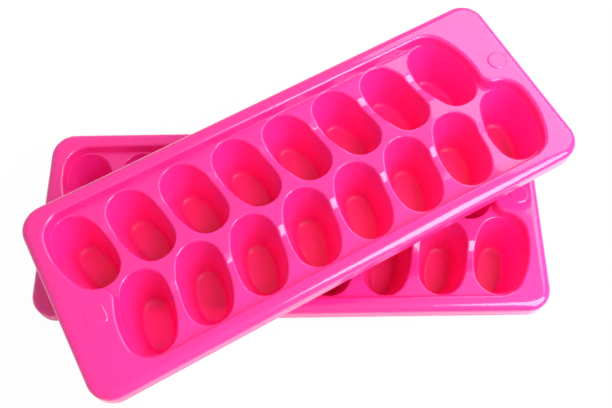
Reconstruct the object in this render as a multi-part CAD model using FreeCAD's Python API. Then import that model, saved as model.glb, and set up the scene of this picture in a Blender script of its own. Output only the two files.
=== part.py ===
import FreeCAD, Part
import math
import os

# Pair of moulded ice cube trays, the upper one laid crosswise on the lower one. Millimetres, +Z up.
# Each tray is one moulding: a hollow raised rim with a skirt, a sunk deck, and two rows of oval pockets
# that hang under it. The rows are shifted by half a pocket, and the pockets lean in a herringbone.

# Overall size of one tray
tray_length = 305.0
tray_width = 120.5
tray_height = 38.0
wall = 1.5

# Rim: the flat crest, the skirt outside it and the drop to the deck inside it
corner_radius = 14.5
skirt_depth = 10.3
skirt_flare = 0.5
crest_round = 2.6
round_bands = 3
deck_drop = 6.5
deck_margin = 0.8
crest_margin = 2.3

# Rows of pockets: the web between two neighbours, how far the rows reach into each other, the lean,
# and the least land kept at each end
pocket_web = 3.85
row_interlock = 0.5
lean_degrees = 11.9
least_end_land = 15.0

# One pocket: an oval mouth that tapers to a smaller oval floor
mouth_half_length = 24.5
mouth_half_width = 14.8
floor_half_length = 15.8
floor_half_width = 8.8
floor_bevel = 2.2
oval_turn_degrees = 17.6
end_flat_count = 6
side_flat_count = 4

# Land tip between the two end pockets
tip_radius = 8.5

# Weirs: sloped notches that let water run from pocket to pocket along a row
weir_top_half = 10.7
weir_floor_half = 5.6
weir_depth = 3.6

# Plain raised pads on the end lands, set in from the tray's ends and to one side of its middle
pad_height = 0.4
round_pad_radius = 5.5
round_pad_inset = 10.0
round_pad_aside = 15.0
square_pad_side = 11.0
square_pad_corner = 2.5
square_pad_inset = 18.0
square_pad_aside = 13.5

# How the upper tray lies on the lower one
yaw_degrees = 28.4
upper_shift_x = 9.3
upper_shift_y = 6.3
stacking_clearance = 0.2
overshoot = 1.0
mouth_overshoot = 0.1

deck_z = tray_height - deck_drop
skirt_z = tray_height - skirt_depth
floor_z = wall
lean = math.radians(lean_degrees)

# The rows are shifted by half a pocket, so each is a quarter from the middle, and a row holds as many
# pockets as fit between the end lands.
pocket_pitch = 2 * mouth_half_width + pocket_web
row_stagger = pocket_pitch / 4
row_offset = mouth_half_length - row_interlock
pockets_in_row = int((tray_length - 2 * least_end_land) / pocket_pitch)


def at_angle(centre, radius, angle):
    return FreeCAD.Vector(
        centre.x + radius * math.cos(angle), centre.y + radius * math.sin(angle), centre.z
    )


def arc(centre, radius, start, end):
    # A circle arc in a level plane, drawn through its middle.
    middle = (start + end) / 2
    points = [at_angle(centre, radius, angle) for angle in (start, middle, end)]
    return Part.Arc(*points).toShape()


def oval_parts(centre, tilt, half_length, half_width):
    # Centres and radii of the four tangent arcs of a tilted oval. Every oval turns from side to end
    # at the same angle, so the walls between two of them rise straight.
    turn = math.radians(oval_turn_degrees)
    ease = math.tan(turn / 2)
    end_radius = (half_width - half_length * ease) / (1 - ease)
    reach = half_length - end_radius
    offset = reach / math.tan(turn)
    along = FreeCAD.Vector(-math.sin(tilt), math.cos(tilt), 0)
    across = FreeCAD.Vector(math.cos(tilt), math.sin(tilt), 0)
    return {
        "far": centre + along * reach,
        "near": centre - along * reach,
        "right": centre - across * offset,
        "left": centre + across * offset,
        "end_radius": end_radius,
        "side_radius": half_width + offset,
        "turn": turn,
    }


def oval_points(centre, tilt, half_length, half_width):
    # The sixteen pockets repeat, so each arc of their ovals is a few short flats.
    oval = oval_parts(centre, tilt, half_length, half_width)
    points = []
    start = -oval["turn"]
    for name in ("right", "far", "left", "near"):
        is_end = name in ("far", "near")
        radius = oval["end_radius"] if is_end else oval["side_radius"]
        span = math.pi - 2 * oval["turn"] if is_end else 2 * oval["turn"]
        flats = end_flat_count if is_end else side_flat_count
        for step in range(flats):
            angle = tilt + start + span * step / flats
            points.append(at_angle(oval[name], radius, angle))
        start += span
    return points


def flat_sided(sections):
    # A closed form of plane faces through level sections with matching corners.
    faces = [Part.Face(Part.makePolygon(ring + ring[:1])) for ring in (sections[0], sections[-1])]
    for upper, lower in zip(sections[:-1], sections[1:]):
        for index in range(len(upper)):
            corners = [upper[index - 1], upper[index], lower[index], lower[index - 1]]
            faces.append(Part.Face(Part.makePolygon(corners + corners[:1])))
    return Part.Solid(Part.Shell(faces))


def pocket_form(x, y, tilt, growth, top_z, bottom_z, bevel):
    # The straight draft runs from the mouth at deck level to the floor, and growth offsets it outwards.
    def section(z, inset):
        share = (deck_z - z) / (deck_z - floor_z)
        sizes = [
            mouth + (floor - mouth) * share + growth - inset
            for mouth, floor in (
                (mouth_half_length, floor_half_length),
                (mouth_half_width, floor_half_width),
            )
        ]
        return oval_points(FreeCAD.Vector(x, y, z), tilt, *sizes)

    return flat_sided(
        [section(top_z, 0), section(bottom_z + bevel, 0), section(bottom_z, bevel)]
    )


def pocket_places():
    # The far row is shifted one way and leans one way, and the near row is its mirror image, shifted
    # the other way.
    places = []
    for row in (1, -1):
        for index in range(pockets_in_row):
            x = (index - (pockets_in_row - 1) / 2) * pocket_pitch - row * row_stagger
            places.append((x, row * row_offset, row * lean))
    return places


def rounded_box(length, width, radius, z):
    half_x = length / 2 - radius
    half_y = width / 2 - radius
    edges = []
    signs = ((1, 1), (-1, 1), (-1, -1), (1, -1))
    for turn, (sign_x, sign_y) in enumerate(signs):
        centre = FreeCAD.Vector(sign_x * half_x, sign_y * half_y, z)
        start = turn * math.pi / 2
        edges.append(arc(centre, radius, start, start + math.pi / 2))
    corners = []
    for edge, following in zip(edges, edges[1:] + edges[:1]):
        corners.append(edge)
        corners.append(Part.makeLine(edge.lastVertex().Point, following.firstVertex().Point))
    return Part.Wire(corners)


def drafted_box(inset, levels):
    # Level outlines joined by drafted walls: the rim's outer form, or the hollow below its crest.
    wires = []
    for z, step_in in levels:
        drop = inset + step_in + skirt_flare * (z - skirt_z) / skirt_depth
        wires.append(
            rounded_box(tray_length - 2 * drop, tray_width - 2 * drop, corner_radius - drop, z)
        )
    return Part.makeLoft(wires, True, True)


def rounded_rim():
    # The crest's outer edge turns over in a few bands of one quarter round.
    levels = [(skirt_z, 0)]
    for band in range(round_bands + 1):
        angle = math.pi / 2 * band / round_bands
        rise = crest_round * (math.sin(angle) - 1)
        levels.append((tray_height + rise, crest_round * (1 - math.cos(angle))))
    return drafted_box(0, levels)


def tip_between(far_centre, far_radius, near_centre, near_radius, tip):
    # Centre of the land tip that touches one arc of the far pocket and one of the near pocket, and the
    # directions from their centres in which it touches them.
    between = near_centre - far_centre
    far_reach = far_radius + tip
    along = (far_reach**2 - (near_radius + tip) ** 2 + between.Length**2) / (2 * between.Length)
    aside = math.sqrt(far_reach**2 - along**2)
    forward = between / between.Length
    outward = FreeCAD.Vector(-forward.y, forward.x, 0)
    centre = far_centre + forward * along + outward * aside
    to_far = centre - far_centre
    to_near = centre - near_centre
    return centre, math.atan2(to_far.y, to_far.x), math.atan2(to_near.y, to_near.x)


def half_outline(margin, z, tilt):
    # One end of the sunk deck: it follows the two end pockets at a margin, with a rounded land tip
    # between them. The far pocket leans by the tilt and the near one the other way.
    last_x = (pockets_in_row - 1) / 2 * pocket_pitch
    far = oval_parts(
        FreeCAD.Vector(last_x - row_stagger, row_offset, z),
        tilt, mouth_half_length, mouth_half_width,
    )
    near = oval_parts(
        FreeCAD.Vector(last_x + row_stagger, -row_offset, z),
        -tilt, mouth_half_length, mouth_half_width,
    )
    turn = far["turn"]
    end = far["end_radius"] + margin
    side = far["side_radius"] + margin
    tip = tip_radius - margin
    tip_centre, far_touch, near_touch = tip_between(far["near"], end, near["far"], end, tip)
    meets_side = far_touch > tilt - turn
    if meets_side:
        tip_centre, far_touch, near_touch = tip_between(far["right"], side, near["far"], end, tip)
    quarter = math.pi / 2
    edges = [
        arc(near["near"], end, -quarter, -tilt - turn),
        arc(near["right"], side, -tilt - turn, -tilt + turn),
        arc(near["far"], end, -tilt + turn, near_touch),
        arc(tip_centre, tip, near_touch - math.pi, far_touch - math.pi),
    ]
    if meets_side:
        edges.append(arc(far["right"], side, far_touch, tilt + turn))
    else:
        edges.append(arc(far["near"], end, far_touch, tilt - turn))
        edges.append(arc(far["right"], side, tilt - turn, tilt + turn))
    edges.append(arc(far["far"], end, tilt + turn, quarter))
    return edges


def deck_outline(margin, z):
    # The left end is the half turn of an end whose pockets lean the other way.
    right = half_outline(margin, z, lean)
    left = []
    for edge in half_outline(margin, z, -lean):
        edge.rotate(FreeCAD.Vector(0, 0, 0), FreeCAD.Vector(0, 0, 1), 180)
        left.append(edge)
    far_side = Part.makeLine(right[-1].lastVertex().Point, left[0].firstVertex().Point)
    near_side = Part.makeLine(left[-1].lastVertex().Point, right[0].firstVertex().Point)
    return Part.Wire(right + [far_side] + left + [near_side])


def deck_well(growth, bottom_z, top_z):
    # The sunk space over the deck, with the same draft above and below its stated levels.
    def margin_at(z):
        share = (z - deck_z) / deck_drop
        return deck_margin + (crest_margin - deck_margin) * share + growth

    sections = [deck_outline(margin_at(z), z) for z in (bottom_z, top_z)]
    return Part.makeLoft(sections, True, True)


def weir_bar(row, growth, top_z):
    # A bar of trapezoid section along one row, from the first pocket's centre to the last one's.
    half_run = (pockets_in_row - 1) / 2 * pocket_pitch
    slope = (weir_top_half - weir_floor_half) / weir_depth
    bottom_z = deck_z - weir_depth - growth
    bottom_half = weir_floor_half + growth
    top_half = bottom_half + slope * (top_z - bottom_z)
    corners = (
        (-bottom_half, bottom_z), (bottom_half, bottom_z), (top_half, top_z), (-top_half, top_z)
    )
    x = -half_run - row * row_stagger
    points = [FreeCAD.Vector(x, row * row_offset + y, z) for y, z in corners]
    face = Part.Face(Part.makePolygon(points + points[:1]))
    return face.extrude(FreeCAD.Vector(2 * half_run, 0, 0))


def land_pads():
    round_pad = Part.makeCylinder(
        round_pad_radius, pad_height + wall / 2,
        FreeCAD.Vector(tray_length / 2 - round_pad_inset, round_pad_aside, tray_height - wall / 2),
    )
    outline = rounded_box(square_pad_side, square_pad_side, square_pad_corner, 0)
    square_pad = Part.Face(outline).extrude(FreeCAD.Vector(0, 0, pad_height + wall / 2))
    square_x = square_pad_inset - tray_length / 2
    square_pad.translate(FreeCAD.Vector(square_x, -square_pad_aside, tray_height - wall / 2))
    return [round_pad, square_pad]


def make_tray():
    hollow = drafted_box(wall, [(skirt_z, 0), (tray_height - wall, 0)])
    hollow = hollow.cut(deck_well(wall, deck_z - wall, tray_height))
    shell = rounded_rim().cut([hollow, deck_well(0, deck_z, tray_height + overshoot)])
    pods = []
    cavities = []
    for x, y, tilt in pocket_places():
        pods.append(pocket_form(x, y, tilt, wall, deck_z - wall / 2, 0, floor_bevel))
        cavities.append(
            pocket_form(x, y, tilt, 0, deck_z + mouth_overshoot, floor_z, floor_bevel)
        )
    bridges = [weir_bar(row, wall, deck_z - wall / 2) for row in (1, -1)]
    weirs = [weir_bar(row, 0, deck_z + overshoot) for row in (1, -1)]
    tray = shell.fuse(pods + bridges + land_pads())
    tray = tray.cut(cavities + weirs)
    return tray.removeSplitter()


def rounded_reach(angle):
    # Half the room that a tray takes along a direction at this angle to its length.
    along = (tray_length / 2 - corner_radius) * abs(math.cos(angle))
    across = (tray_width / 2 - corner_radius) * abs(math.sin(angle))
    return along + across + corner_radius


def pair_middle(lower_reach, upper_reach, upper_shift):
    low = min(-lower_reach, upper_shift - upper_reach)
    high = max(lower_reach, upper_shift + upper_reach)
    return (low + high) / 2


# The origin is the middle of the pair's footprint, on the surface it stands on.
yaw = math.radians(yaw_degrees)
quarter_turn = math.pi / 2
middle_x = pair_middle(rounded_reach(0), rounded_reach(yaw), upper_shift_x)
middle_y = pair_middle(
    rounded_reach(quarter_turn), rounded_reach(quarter_turn - yaw), upper_shift_y
)

lower_tray = make_tray()
upper_tray = lower_tray.copy()
upper_tray.rotate(FreeCAD.Vector(0, 0, 0), FreeCAD.Vector(0, 0, 1), yaw_degrees)
upper_tray.translate(
    FreeCAD.Vector(upper_shift_x, upper_shift_y, tray_height + stacking_clearance)
)

os.makedirs("parts", exist_ok=True)
for name, shape in (("lower_tray", lower_tray), ("upper_tray", upper_tray)):
    shape.translate(FreeCAD.Vector(-middle_x, -middle_y, 0))
    box = shape.BoundBox
    print(name, "valid", shape.isValid(), "solids", len(shape.Solids), "volume", round(shape.Volume))
    print("  faces", len(shape.Faces), "from", round(box.ZMin, 2), "to", round(box.ZMax, 2))
    shape.exportStep("parts/" + name + ".step")
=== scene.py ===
import bmesh
import bpy
import functools
import math
from mathutils import Matrix, Quaternion, Vector


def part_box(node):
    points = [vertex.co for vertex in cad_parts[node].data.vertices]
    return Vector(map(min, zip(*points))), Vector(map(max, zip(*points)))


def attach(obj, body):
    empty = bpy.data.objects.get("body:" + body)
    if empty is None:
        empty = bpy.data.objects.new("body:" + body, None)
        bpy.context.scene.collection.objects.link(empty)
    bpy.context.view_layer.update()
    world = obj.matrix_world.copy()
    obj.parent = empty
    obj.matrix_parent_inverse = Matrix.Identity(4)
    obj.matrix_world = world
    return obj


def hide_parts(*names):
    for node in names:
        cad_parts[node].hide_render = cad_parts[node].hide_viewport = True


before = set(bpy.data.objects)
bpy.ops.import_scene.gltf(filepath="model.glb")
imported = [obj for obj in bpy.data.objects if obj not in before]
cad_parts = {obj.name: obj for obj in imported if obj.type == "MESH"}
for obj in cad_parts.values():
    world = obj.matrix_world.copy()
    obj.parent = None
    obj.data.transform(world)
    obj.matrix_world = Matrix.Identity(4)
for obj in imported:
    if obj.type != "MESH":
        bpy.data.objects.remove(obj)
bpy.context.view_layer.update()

# The pair of ice cube trays: two like mouldings of glossy pink plastic, one laid crosswise on the other.
# One moulding is modelled here about its own middle, in millimetres, and is placed twice further down.
metres = 0.001
lower_low, lower_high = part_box("lower_tray")
upper_low, upper_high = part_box("upper_tray")
pad_height = 0.4
wall = 1.5
tray_length = (lower_high.x - lower_low.x) / metres
tray_width = (lower_high.y - lower_low.y) / metres
tray_height = (lower_high.z - lower_low.z) / metres - pad_height

# Pocket: a leaning oval cup. Its outline is four tangent arcs, and every level of it turns from side to
# end at the same angle. The walls have the draft that lets the mould and the ice out.
oval_turn = math.radians(17.6)
mouth_length, mouth_width = 24.5, 14.8
floor_length, floor_width = 15.8, 8.8
deck_z = tray_height - 6.5
floor_z = wall
mouth_round = 1.2
floor_round = 3.4
settle = 0.04
band_steps = 5


def facings(steps):
    """Which arc of an oval each of its points lies on, and which way the wall faces there."""
    listed = []
    start = -oval_turn
    for arc in range(4):
        span = 2 * oval_turn if arc % 2 == 0 else math.pi - 2 * oval_turn
        listed += [(arc, start + span * step / steps) for step in range(steps)]
        start += span
    return listed


def direction(angle):
    return Vector((math.cos(angle), math.sin(angle), 0))


def oval_arcs(half_length, half_width):
    """Centres and radii of the right side, far end, left side and near end."""
    ease = math.tan(oval_turn / 2)
    end_radius = (half_width - half_length * ease) / (1 - ease)
    reach = half_length - end_radius
    aside = reach / math.tan(oval_turn)
    side = half_width + aside
    return [
        (Vector((-aside, 0, 0)), side), (Vector((0, reach, 0)), end_radius),
        (Vector((aside, 0, 0)), side), (Vector((0, -reach, 0)), end_radius),
    ]


@functools.lru_cache(maxsize=None)
def arcs_at(z):
    share = (deck_z - z) / (deck_z - floor_z)
    return oval_arcs(
        mouth_length + (floor_length - mouth_length) * share,
        mouth_width + (floor_width - mouth_width) * share,
    )


def wall_point(arc, angle, z, out):
    """A point of an upright pocket's wall at a level, moved out from it."""
    centre, radius = arcs_at(z)[arc]
    return centre + direction(angle) * (radius + out)


def draft_at(arc, angle):
    """How far the wall comes in for each millimetre down."""
    step = wall_point(arc, angle, deck_z, 0) - wall_point(arc, angle, deck_z - 1, 0)
    return step.dot(direction(angle))


def rounding(radius, draft, steps=band_steps):
    """A quarter round between a level plane and a drafted wall: each step's distance out from their
    sharp corner on the plane's side, and its distance from the plane."""
    sweep = math.pi / 2 - math.atan(draft)
    reach = radius * math.tan(sweep / 2)
    angles = [sweep * step / steps for step in range(steps + 1)]
    return [(reach - radius * math.sin(a), radius * (1 - math.cos(a))) for a in angles]


def ease_in(value):
    value = min(max(value, 0.0), 1.0)
    return value * value * (3 - 2 * value)


# Rows: eight pockets each, leaning one way in the far row and the other way in the near row. The web
# between neighbours is notched by a weir, so that the water runs from pocket to pocket. The top and foot
# of a weir's slopes are given as distances from the middle line of its row, the far row's side positive.
row_count = 8
pitch = 33.45
stagger = pitch / 4
row_offset = 24.0
lean = math.radians(11.9)
weir_depth = 2.3
weir_far_slopes = {1: (10.2, 5.2), -1: (9.0, 3.4)}
weir_near_slope = (-12.5, -1.0)
places = []
for row in (1, -1):
    for index in range(row_count):
        x = (index - (row_count - 1) / 2) * pitch - row * stagger
        places.append((Vector((x, row * row_offset, 0)), row, index))


def weir_drop(row, across):
    """How far the web is notched at a distance from the row's middle line: steeply on its far side."""
    far_top, far_foot = weir_far_slopes[row]
    near_top, near_foot = weir_near_slope
    far_share = (far_top - across) / (far_top - far_foot)
    near_share = (across - near_top) / (near_foot - near_top)
    return weir_depth * min(max(min(far_share, near_share), 0.0), 1.0)


# Sunk deck: its wall runs straight along the rows, rounds the end pockets so closely that it becomes
# their own wall, and goes in between them round the tip of the end land.
tip_radius = 8.5
deck_margin = 0.8
wall_draft = 0.23
close_margin = 0.12
close_round = 0.03
foot_round = 0.35
crest_round = 2.0
outline_step = 0.9
straight_steps = 40
touch_fade = math.radians(22)
close_leaning_in = math.radians(70)
close_leaning_out = math.radians(51)
half_run = (row_count - 1) / 2 * pitch
mouth_arcs = arcs_at(deck_z)
quarter = math.pi / 2


def turned(vector, angle):
    return Matrix.Rotation(angle, 3, "Z") @ vector


def mixed(first, second, share):
    return first + (second - first) * share


def freedom(facing, low, high, low_fade, high_fade):
    """0 where an end pocket's wall is the deck's wall too, and 1 where a ledge lies between them."""
    facing = (facing + math.pi) % (2 * math.pi) - math.pi
    if facing < low:
        return ease_in((low - facing) / low_fade)
    return ease_in((facing - high) / high_fade)


def tip_between(far_arc, near_arc):
    """Middle of the land tip that touches two arcs, and the directions in which it touches them."""
    (far_middle, far_radius), (near_middle, near_radius) = far_arc, near_arc
    between = near_middle - far_middle
    far_reach = far_radius + tip_radius
    along = (far_reach**2 - (near_radius + tip_radius) ** 2 + between.length_squared) / 2 / between.length
    forward = between.normalized()
    outward = Vector((-forward.y, forward.x, 0))
    tip = far_middle + forward * along + outward * math.sqrt(far_reach**2 - along**2)
    to_far, to_near = tip - far_middle, tip - near_middle
    return tip, math.atan2(to_far.y, to_far.x), math.atan2(to_near.y, to_near.x)


def end_outline(tilt, close):
    """The deck's outline round one end on the mouths' own line: each point with the way that it faces,
    the draft of its wall and its freedom. Also where the far and the near pocket's walls are close."""
    far_middle = Vector((half_run - stagger, row_offset, 0))
    near_middle = Vector((half_run + stagger, -row_offset, 0))
    far = [(far_middle + turned(middle, tilt), radius) for middle, radius in mouth_arcs]
    near = [(near_middle + turned(middle, -tilt), radius) for middle, radius in mouth_arcs]
    far_start = 3
    tip, far_touch, near_touch = tip_between(far[3], near[1])
    if far_touch > tilt - oval_turn:
        far_start = 0
        tip, far_touch, near_touch = tip_between(far[0], near[1])
    far_close = (far_touch, close, touch_fade, quarter - close)
    near_close = (-close, near_touch, quarter - close, touch_fade)
    traced = []

    def follow(arcs, arc, start, end, pocket_tilt, closeness):
        middle, radius = arcs[arc]
        steps = max(2, round((end - start) * radius / outline_step))
        for step in range(steps):
            angle = mixed(start, end, step / steps)
            free = freedom(angle, *closeness)
            draft = mixed(draft_at(arc, angle - pocket_tilt), wall_draft, free)
            traced.append((middle + direction(angle) * radius, direction(angle), draft, free))

    follow(near, 3, -quarter, -tilt - oval_turn, -tilt, near_close)
    follow(near, 0, -tilt - oval_turn, oval_turn - tilt, -tilt, near_close)
    follow(near, 1, oval_turn - tilt, near_touch, -tilt, near_close)
    tip_steps = 16
    for step in range(tip_steps):
        share = step / tip_steps
        facing = direction(mixed(near_touch, far_touch, share))
        free = ease_in(2.2 * min(share, 1 - share))
        touched = draft_at(1, near_touch + tilt) if share < 0.5 else draft_at(far_start, far_touch - tilt)
        traced.append((tip - facing * tip_radius, facing, mixed(touched, wall_draft, free), free))
    if far_start == 3:
        follow(far, 3, far_touch, tilt - oval_turn, tilt, far_close)
        follow(far, 0, tilt - oval_turn, tilt + oval_turn, tilt, far_close)
    else:
        follow(far, 0, far_touch, tilt + oval_turn, tilt, far_close)
    follow(far, 1, tilt + oval_turn, quarter, tilt, far_close)
    last = far[1][0] + Vector((0, far[1][1], 0))
    return traced, last, far_close, near_close


# The right end's pockets lean in at their outer corners and the left end's lean out. The left end is
# worked out as the half turn of an end whose pockets lean the other way.
right_end, right_last, far_right, near_right = end_outline(lean, close_leaning_in)
left_end, left_last, near_left, far_left = end_outline(-lean, close_leaning_out)
closeness = {
    (1, row_count - 1): (0, far_right), (-1, row_count - 1): (0, near_right),
    (1, 0): (math.pi, far_left), (-1, 0): (math.pi, near_left),
}


def straight_side(start, end, facing):
    return [
        (start.lerp(end, step / straight_steps), facing, wall_draft, 1.0)
        for step in range(straight_steps)
    ]


outline = right_end + straight_side(right_last, -left_end[0][0], Vector((0, 1, 0)))
outline += [(-spot, -facing, draft, free) for spot, facing, draft, free in left_end]
outline += straight_side(-left_last, right_end[0][0], Vector((0, -1, 0)))


# Mesh of the moulding: each wall is drawn out of an open edge loop, outline by outline, and the level
# faces are filled between the loops that bound them. A pocket is made once and set down at its places.
moulding = bmesh.new()


def begin(body, points):
    ring = bmesh.ops.create_circle(body, segments=len(points), radius=1)["verts"]
    for vert, point in zip(ring, points):
        vert.co = point
    return ring


def draw_out(body, ring, points):
    edges = [body.edges.get((ring[at - 1], ring[at])) for at in range(len(ring))]
    fresh = set(bmesh.ops.extrude_edge_only(body, edges=edges)["geom"])
    drawn = []
    for vert, point in zip(ring, points):
        follower = next(e.other_vert(vert) for e in vert.link_edges if e.other_vert(vert) in fresh)
        follower.co = point
        drawn.append(follower)
    return drawn


def fill(body, low, high, up=1):
    """Closes the body between those of its open edges that lie between two levels."""
    edges = [
        edge for edge in body.edges
        if len(edge.link_faces) < 2 and all(low < vert.co.z < high for vert in edge.verts)
    ]
    filled = bmesh.ops.triangle_fill(body, use_beauty=True, edges=edges, normal=(0, 0, up))["geom"]
    return [item for item in filled if isinstance(item, bmesh.types.BMFace)]


def cup(columns, up):
    """A pocket's skin about its own middle, drawn down from its mouth and closed at its foot."""
    body = bmesh.new()
    rings = list(zip(*columns))
    ring = begin(body, rings[0])
    for points in rings[1:]:
        ring = draw_out(body, ring, points)
    foot = ring[0].co.z
    fill(body, foot - settle, foot + settle, up)
    return body


def set_down(body, place):
    patch = bpy.data.meshes.new("patch")
    body.to_mesh(patch)
    patch.transform(Matrix.Translation(place))
    moulding.from_mesh(patch)
    bpy.data.meshes.remove(patch)


def foot_radius(free):
    return mixed(close_round, foot_round, free)


def margin(free):
    return mixed(close_margin, deck_margin, free)


pocket_steps = 36
wall_shares = (0.001, 0.34, 0.67, 0.98)
lip_reach = 0.79
lip_gap = 0.05
sliver = 0.01
mouth_reach = right_last.y - row_offset


def pocket_columns(row, index):
    """The wall of one pocket about its own middle: for each point of its outline, the way down from the
    deck to the floor. Where the deck's wall is near, the mouth's round is kept clear of its foot."""
    tilt = row * lean
    half_turn, close = closeness.get((row, index), (0, None))
    columns = []
    for arc, angle in facings(pocket_steps):
        outer_side = math.cos(angle + half_turn) > 0 and close is not None
        free = freedom(angle + tilt + half_turn, *close) if close else 1.0
        mouth = turned(wall_point(arc, angle, deck_z, 0), tilt)
        top = deck_z - (0.0 if outer_side else weir_drop(row, mouth.y))
        facing = direction(angle)
        draft = draft_at(arc, angle)
        lip = wall_point(arc, angle, top, 0)
        ledge = mouth_reach + deck_margin - abs(mouth.y)
        if close and math.cos(angle + tilt + half_turn) > 0 and row * mouth.y > 0:
            ledge = deck_margin
        eased = min(mouth_round, (ledge - foot_round - lip_gap) / lip_reach)
        lip_bands = rounding(mixed(close_round, eased, free), draft)
        floor_bands = rounding(floor_round, draft)
        column = [lip + facing * (lip_bands[0][0] + settle * free + sliver) + Vector((0, 0, top))]
        for out, down in lip_bands:
            spot = wall_point(arc, angle, top - down, out + draft * down)
            column.append(spot + Vector((0, 0, top - down)))
        for share in wall_shares:
            z = mixed(top - lip_bands[-1][1], floor_z + floor_bands[-1][1], share)
            column.append(wall_point(arc, angle, z, 0) + Vector((0, 0, z)))
        for out, up in reversed(floor_bands):
            spot = wall_point(arc, angle, floor_z + up, -out - draft * up)
            column.append(spot + Vector((0, 0, floor_z + up)))
        column.append(column[-1] - facing * 5 * settle)
        columns.append([turned(point, tilt) for point in column])
    return columns


cups = {}
for place, row, index in places:
    kind = row, (index if index in (0, row_count - 1) else 1)
    if kind not in cups:
        cups[kind] = cup(pocket_columns(*kind), 1)
    set_down(cups[kind], place)

well_shares = (0.004, 0.5, 0.99)
foot_bands = [rounding(foot_radius(free), draft) for _, _, draft, free in outline]
crest_bands = [rounding(crest_round, draft) for _, _, draft, free in outline]


def outline_ring(place_point):
    points = []
    for (spot, facing, draft, free), foot, crest in zip(outline, foot_bands, crest_bands):
        out, z = place_point(draft, free, foot, crest)
        points.append(spot + facing * out + Vector((0, 0, z)))
    return points


def crest_out(draft, free):
    return margin(free) + draft * (tray_height - deck_z)


well = begin(moulding, outline_ring(lambda draft, free, foot, crest: (
    margin(free) - foot[0][0] - settle * free - sliver, deck_z)))
deck_faces = fill(moulding, deck_z - weir_depth - settle, deck_z + settle)
for band in range(band_steps + 1):
    well = draw_out(moulding, well, outline_ring(lambda draft, free, foot, crest: (
        margin(free) - foot[band][0], deck_z + foot[band][1])))
for share in well_shares:
    def on_wall(draft, free, foot, crest):
        z = mixed(deck_z + foot[-1][1], tray_height - crest[-1][1], share)
        return margin(free) + draft * (z - deck_z), z
    well = draw_out(moulding, well, outline_ring(on_wall))
for band in range(band_steps, -1, -1):
    well = draw_out(moulding, well, outline_ring(lambda draft, free, foot, crest: (
        crest_out(draft, free) + crest[band][0], tray_height - crest[band][1])))
draw_out(moulding, well, outline_ring(lambda draft, free, foot, crest: (
    crest_out(draft, free) + crest[0][0] + 3 * settle, tray_height)))

# Rim: a flat crest that turns over a soft edge into a short skirt. The skirt flares a little, so that
# the moulding leaves its tool, and its lower edge is eased.
corner_signs = ((1, 1), (-1, 1), (-1, -1), (1, -1))
corner_radius = 14.5
rim_ease_in, rim_ease_down = 5.4, 3.6
rim_steps = 14
skirt_z = tray_height - 10.3
skirt_flare = 0.5
lip_round = 0.35
under_z = tray_height - wall
corner_steps = 20
side_steps = 30
skirt_shares = (0.05, 0.5, 0.95)


def rim_loop(drop, z):
    """The rim's rounded outline, brought in all round and set at a level."""
    radius = corner_radius - drop
    points = []
    for turn, (sign_x, sign_y) in enumerate(corner_signs):
        centre = Vector((
            sign_x * (tray_length / 2 - corner_radius), sign_y * (tray_width / 2 - corner_radius), z
        ))
        for step in range(corner_steps + 1):
            angle = quarter * (turn + step / corner_steps)
            points.append(centre + direction(angle) * radius)
        next_x, next_y = corner_signs[(turn + 1) % 4]
        end = Vector((
            next_x * (tray_length / 2 - corner_radius), next_y * (tray_width / 2 - corner_radius), z
        )) + direction(quarter * (turn + 1)) * radius
        last = points[-1]
        points += [last.lerp(end, step / side_steps) for step in range(1, side_steps)]
    return points


def flare_in(z):
    return skirt_flare * (z - skirt_z) / (tray_height - skirt_z)


rim = begin(moulding, rim_loop(flare_in(tray_height) + rim_ease_in + 3 * settle, tray_height))
for band in range(rim_steps + 1):
    angle = quarter * band / rim_steps
    z = tray_height - rim_ease_down * (1 - math.cos(angle))
    rim = draw_out(moulding, rim, rim_loop(flare_in(z) + rim_ease_in * (1 - math.sin(angle)), z))
for share in skirt_shares:
    z = mixed(tray_height - rim_ease_down, skirt_z + lip_round, share)
    rim = draw_out(moulding, rim, rim_loop(flare_in(z), z))
for band in range(band_steps):
    angle = quarter * band / (band_steps - 1)
    z = skirt_z + lip_round * (1 - math.sin(angle))
    rim = draw_out(moulding, rim, rim_loop(flare_in(z) + lip_round * (1 - math.cos(angle)), z))
inside_levels = (
    (wall - lip_round, skirt_z), (wall, skirt_z + lip_round), (wall + 0.05, skirt_z + 2 * lip_round),
    (wall, under_z - 1.0), (wall + 0.3, under_z - 0.2), (wall + 1.0, under_z), (wall + 1.6, under_z),
)
for drop, z in inside_levels:
    rim = draw_out(moulding, rim, rim_loop(drop + flare_in(z), z))

# Raised pads on the end lands: a round one at one end and a square one with soft corners at the other.
round_pad = (Vector((tray_length / 2 - 12.3, 13.0, 0)), 5.5, 5.5)
square_pad = (Vector((18.8 - tray_length / 2, -15.4, 0)), 5.5, 2.5)
pad_steps = 16
pad_levels = ((0.5, 0.0), (0.4, 0.0), (0.25, 0.05), (0.0, 0.2), (-0.25, 0.35), (-0.4, 0.4), (-0.7, 0.4))
for centre, half_side, corner in (round_pad, square_pad):
    ring = None
    for grow, rise in pad_levels:
        points = []
        for turn, (sign_x, sign_y) in enumerate(corner_signs):
            inner = Vector((sign_x * (half_side - corner), sign_y * (half_side - corner), 0))
            for step in range(pad_steps):
                angle = quarter * (turn + step / (pad_steps if corner == half_side else pad_steps - 1))
                spot = centre + inner + direction(angle) * (corner + grow)
                points.append(spot + Vector((0, 0, tray_height + rise)))
        ring = draw_out(moulding, ring, points) if ring else begin(moulding, points)
    fill(moulding, tray_height + pad_height - settle, tray_height + pad_height + settle)
fill(moulding, tray_height - settle, tray_height + settle)

# Underside: the same wall seen from below, with the pods of the pockets hanging from the deck and the
# outer face of the deck's wall between them and the crest.
pod_steps = 20
pod_ease = 0.03
foot_ease = 4.6
under_deck = deck_z - wall
skin_rises = (0.15, 0.5, 4.0, 6.0, 6.5)


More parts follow.
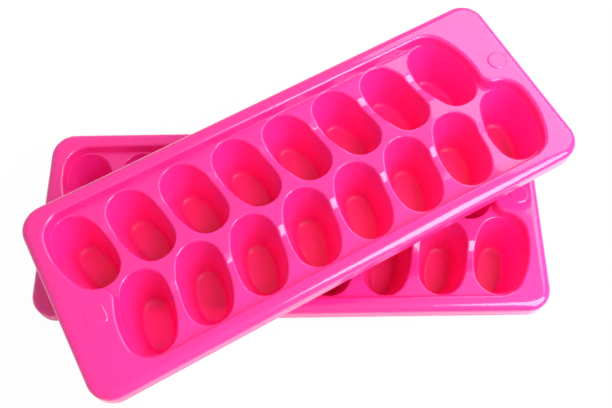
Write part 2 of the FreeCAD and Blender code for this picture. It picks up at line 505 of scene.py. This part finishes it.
def pod_columns(row, index):
    """The outside of one pocket about its own middle: the way down from the deck to the foot."""
    tilt = row * lean
    columns = []
    for arc, angle in facings(pod_steps):
        faces_right = math.cos(angle) > 0
        mouth = turned(wall_point(arc, angle, deck_z, 0), tilt)
        at_end = (index == row_count - 1 and faces_right) or (index == 0 and not faces_right)
        top = under_deck - (0.0 if at_end else weir_drop(row, mouth.y))
        draft = draft_at(arc, angle)
        bands = rounding(foot_ease, draft)
        column = [wall_point(arc, angle, top, wall + pod_ease) + Vector((0, 0, top))]
        foot = bands[-1][1]
        for z in (top - 0.1, top - 0.4, mixed(top, foot, 0.5), mixed(top, foot, 0.97)):
            column.append(wall_point(arc, angle, z, wall) + Vector((0, 0, z)))
        for out, up in reversed(bands):
            spot = wall_point(arc, angle, up, wall - out - draft * up)
            column.append(spot + Vector((0, 0, up)))
        column.append(column[-1] - direction(angle) * 5 * settle)
        columns.append([turned(point, tilt) for point in column])
    return columns


pods = {}
for place, row, index in places:
    kind = row, (index if index in (0, row_count - 1) else 1)
    if kind not in pods:
        pods[kind] = cup(pod_columns(*kind), -1)
    set_down(pods[kind], place)

well_skin = begin(moulding, outline_ring(lambda draft, free, foot, crest: (
    margin(free) + wall + 0.12, under_deck)))
fill(moulding, under_deck - weir_depth - settle, under_deck + settle, up=-1)
for rise in skin_rises:
    well_skin = draw_out(moulding, well_skin, outline_ring(lambda draft, free, foot, crest: (
        margin(free) + wall + 0.14 + draft * rise, under_deck + rise)))
fill(moulding, under_z - settle, under_z + settle, up=-1)

bmesh.ops.recalc_face_normals(moulding, faces=moulding.faces)
for face in moulding.faces:
    face.smooth = True
for face in deck_faces:
    face.smooth = False

# The two trays: the lower one square to the table, the upper one turned and lying on its rim.
upper_yaw = math.radians(28.4)


def lay_tray(name, node, low, high, yaw):
    """A tray in metres at the middle of its node's box, as a piece of its own that rides on the node."""
    mesh = bpy.data.meshes.new(name)
    moulding.to_mesh(mesh)
    middle = Vector(((low.x + high.x) / 2, (low.y + high.y) / 2, low.z))
    mesh.transform(
        Matrix.Translation(middle) @ Matrix.Rotation(yaw, 4, "Z") @ Matrix.Scale(metres, 4)
    )
    tray = bpy.data.objects.new(name, mesh)
    bpy.context.scene.collection.objects.link(tray)
    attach(tray, node)
    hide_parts(node)
    return tray


lower_tray = lay_tray("lower_tray_moulding", "lower_tray", lower_low, lower_high, 0.0)
upper_tray = lay_tray("upper_tray_moulding", "upper_tray", upper_low, upper_high, upper_yaw)
moulding.free()

# Pink plastic: glossy and slightly see-through. Its colour is painted redder and darker the deeper the
# pockets go: painted shade for the light that falls off in them and passes through several walls. It has
# faint flow marks, and fine scuffs that run across the pockets' walls. Their floors are less glossy.
crest_pink = (1.0, 0.018, 0.25, 1)
# The pockets' deep colour is painted shade: the base pink is mixed towards it the deeper a point lies.
painted_pocket_shade_pink = (1.0, 0.009, 0.16, 1)
painted_depth_shade = 0.8
flow_tint = 0.12
flow_scale = 28.0
scuff_scales = (60.0, 60.0, 900.0)
scuff_share = 0.7
body_roughness = 0.48
scuff_roughness = 0.1
dull_depth = 0.86
dull_gain = 9.0
stacking = upper_low.z - lower_low.z
foot_lift = 0.0001
pad_sink = 0.0006


class Amount:
    """A number that varies over a surface: a node's output, with the usual signs for sums of it."""

    def __init__(self, tree, socket):
        self.tree, self.socket = tree, socket

    def worked_out(self, operation, first, second, clamped=False):
        node = self.tree.nodes.new("ShaderNodeMath")
        node.operation = operation
        node.use_clamp = clamped
        for socket, value in zip(node.inputs, (first, second)):
            if isinstance(value, Amount):
                self.tree.links.new(value.socket, socket)
            else:
                socket.default_value = value
        return Amount(self.tree, node.outputs[0])

    def __add__(self, other):
        return self.worked_out("ADD", self, other)

    def __sub__(self, other):
        return self.worked_out("SUBTRACT", self, other)

    def __rsub__(self, other):
        return self.worked_out("SUBTRACT", other, self)

    def __mul__(self, other):
        return self.worked_out("MULTIPLY", self, other)

    def __truediv__(self, other):
        return self.worked_out("DIVIDE", self, other)

    def __mod__(self, other):
        return self.worked_out("MODULO", self, other)

    __radd__ = __add__
    __rmul__ = __mul__

    def clamped(self):
        return self.worked_out("ADD", self, 0.0, clamped=True)


def shading(tree, kind, settings, values):
    """A node with its settings, and with its sockets set to values or linked to other nodes."""
    node = tree.nodes.new(kind)
    for name, setting in settings.items():
        setattr(node, name, setting)
    for name, value in values.items():
        if isinstance(value, Amount):
            value = value.socket
        if isinstance(value, bpy.types.NodeSocket):
            tree.links.new(value, node.inputs[name])
        else:
            node.inputs[name].default_value = value
    return node


pink = bpy.data.materials.new("pink_plastic")
pink.use_nodes = True
tree = pink.node_tree
tree.nodes.clear()
place_on_tray = shading(tree, "ShaderNodeTexCoord", {}, {}).outputs["Object"]
apart = shading(tree, "ShaderNodeSeparateXYZ", {}, {"Vector": place_on_tray})
skin_facing = shading(tree, "ShaderNodeNewGeometry", {}, {}).outputs["Normal"]
facing_apart = shading(tree, "ShaderNodeSeparateXYZ", {}, {"Vector": skin_facing})
upward = Amount(tree, facing_apart.outputs["Z"]).clamped()
height = (Amount(tree, apart.outputs["Z"]) + foot_lift - upward * pad_sink) % stacking
depth = (1.0 - height / (deck_z * metres)).clamped()
flow = Amount(tree, shading(tree, "ShaderNodeTexNoise", {}, {
    "Vector": place_on_tray, "Scale": flow_scale, "Detail": 3.0, "Roughness": 0.55, "Distortion": 1.2,
}).outputs[0])
stretch = shading(tree, "ShaderNodeMapping", {}, {"Vector": place_on_tray, "Scale": scuff_scales})
scuffs = Amount(tree, shading(tree, "ShaderNodeTexNoise", {}, {
    "Vector": stretch.outputs[0], "Scale": 1.0, "Detail": 4.0, "Roughness": 0.6,
}).outputs[0])
# Base colour: the plastic's own pink, darkened and reddened by painted shade with depth in the pockets,
# plus the real tint of the flow marks.
shade_and_flow_colour = shading(tree, "ShaderNodeMix", {"data_type": "RGBA"}, {
    "Factor": (depth * depth * painted_depth_shade + (flow - 0.5) * flow_tint).clamped(),
    6: crest_pink,
    7: painted_pocket_shade_pink,
})
grain = shading(tree, "ShaderNodeBump", {}, {
    "Height": scuffs * scuff_share + flow * (1.0 - scuff_share), "Strength": 0.035, "Distance": 0.0006,
})
plastic = shading(tree, "ShaderNodeBsdfPrincipled", {}, {
    "Base Color": shade_and_flow_colour.outputs[2],
    "Roughness": body_roughness + (scuffs - 0.5) * scuff_roughness,
    "IOR": 1.5,
    "Specular IOR Level": 0.25,
    "Coat Weight": 1.0 - depth * 0.5 - ((depth - dull_depth) * dull_gain).clamped() * 0.35,
    "Coat Roughness": 0.05,
    "Subsurface Weight": 0.6,
    "Subsurface Radius": (1.0, 0.35, 0.7),
    "Subsurface Scale": 0.011,
    "Normal": grain.outputs[0],
})
shading(tree, "ShaderNodeOutputMaterial", {}, {"Surface": plastic.outputs[0]})
for tray in (lower_tray, upper_tray):
    tray.data.materials.append(pink)

# Floor: a plain white table. The camera sees it as almost plain white, with the trays' soft shadow.
table_size = 6.0
table_white = (0.9, 0.9, 0.9, 1)
table_glow = 0.97
table_mesh = bpy.data.meshes.new("table")
table_top = bmesh.new()
bmesh.ops.create_grid(table_top, x_segments=1, y_segments=1, size=table_size)
table_top.to_mesh(table_mesh)
table_top.free()
table = bpy.data.objects.new("table", table_mesh)
bpy.context.scene.collection.objects.link(table)
white = bpy.data.materials.new("table_white")
white.use_nodes = True
tree = white.node_tree
tree.nodes.clear()
seen = Amount(tree, shading(tree, "ShaderNodeLightPath", {}, {}).outputs["Is Camera Ray"])
matt = shading(tree, "ShaderNodeBsdfDiffuse", {}, {"Color": table_white})
glow = shading(tree, "ShaderNodeEmission", {}, {"Strength": 1.0})
blend = shading(tree, "ShaderNodeMixShader", {}, {
    "Fac": seen * table_glow, 1: matt.outputs[0], 2: glow.outputs[0],
})
shading(tree, "ShaderNodeOutputMaterial", {}, {"Surface": blend.outputs[0]})
table_mesh.materials.append(white)

# Light: a large soft box high in front on the right, a dimmer one behind on the right, and a white room.
room_light = 0.52
world = bpy.data.worlds.new("room")
bpy.context.scene.world = world
world.use_nodes = True
tree = world.node_tree
tree.nodes.clear()
seen = Amount(tree, shading(tree, "ShaderNodeLightPath", {}, {}).outputs["Is Camera Ray"])
room = shading(tree, "ShaderNodeBackground", {}, {
    "Color": (1, 1, 1, 1), "Strength": seen * (1.0 - room_light) + room_light,
})
shading(tree, "ShaderNodeOutputWorld", {}, {"Surface": room.outputs[0]})


def soft_box(name, turn, lift, distance, size, radiance):
    """A rectangular lamp in a direction from the trays, facing them. Its two angles are in degrees."""
    lamp = bpy.data.lights.new(name, "AREA")
    lamp.shape = "RECTANGLE"
    lamp.size, lamp.size_y = size
    lamp.energy = math.pi * lamp.size * lamp.size_y * radiance
    level = Matrix.Rotation(math.radians(turn), 3, "Z")
    away = level @ Matrix.Rotation(-math.radians(lift), 3, "Y") @ Vector((1, 0, 0))
    box = bpy.data.objects.new(name, lamp)
    box.location = Vector((0, 0, stacking)) + away * distance
    box.rotation_euler = away.to_track_quat("Z", "Y").to_euler()
    bpy.context.scene.collection.objects.link(box)


soft_box("front_box", turn=-27, lift=47, distance=0.8, size=(0.42, 0.6), radiance=10)
soft_box("back_box", turn=46, lift=42, distance=0.88, size=(0.8, 0.5), radiance=3.5)

# Camera: above the front edge of the trays, looking steeply down at them.
lower_middle = Vector(((lower_low.x + lower_high.x) / 2, (lower_low.y + lower_high.y) / 2, 0))
camera_place = lower_middle + Vector((14.70, -172.62, 457.26)) * metres
camera_aim = lower_middle + Vector((9.72, 8.27, 38.0)) * metres
camera_roll = math.radians(-2.28)
lens_length = 43.86
sensor_width = 36
camera = bpy.data.objects.new("camera", bpy.data.cameras.new("camera"))
camera.data.lens = lens_length
camera.data.sensor_width = sensor_width
camera.location = camera_place
camera.rotation_mode = "QUATERNION"
looking = (camera_aim - camera_place).to_track_quat("-Z", "Y")
camera.rotation_quaternion = looking @ Quaternion((0, 0, 1), camera_roll)
bpy.context.scene.collection.objects.link(camera)
bpy.context.scene.camera = camera

bpy.context.scene.view_settings.view_transform = "Standard"
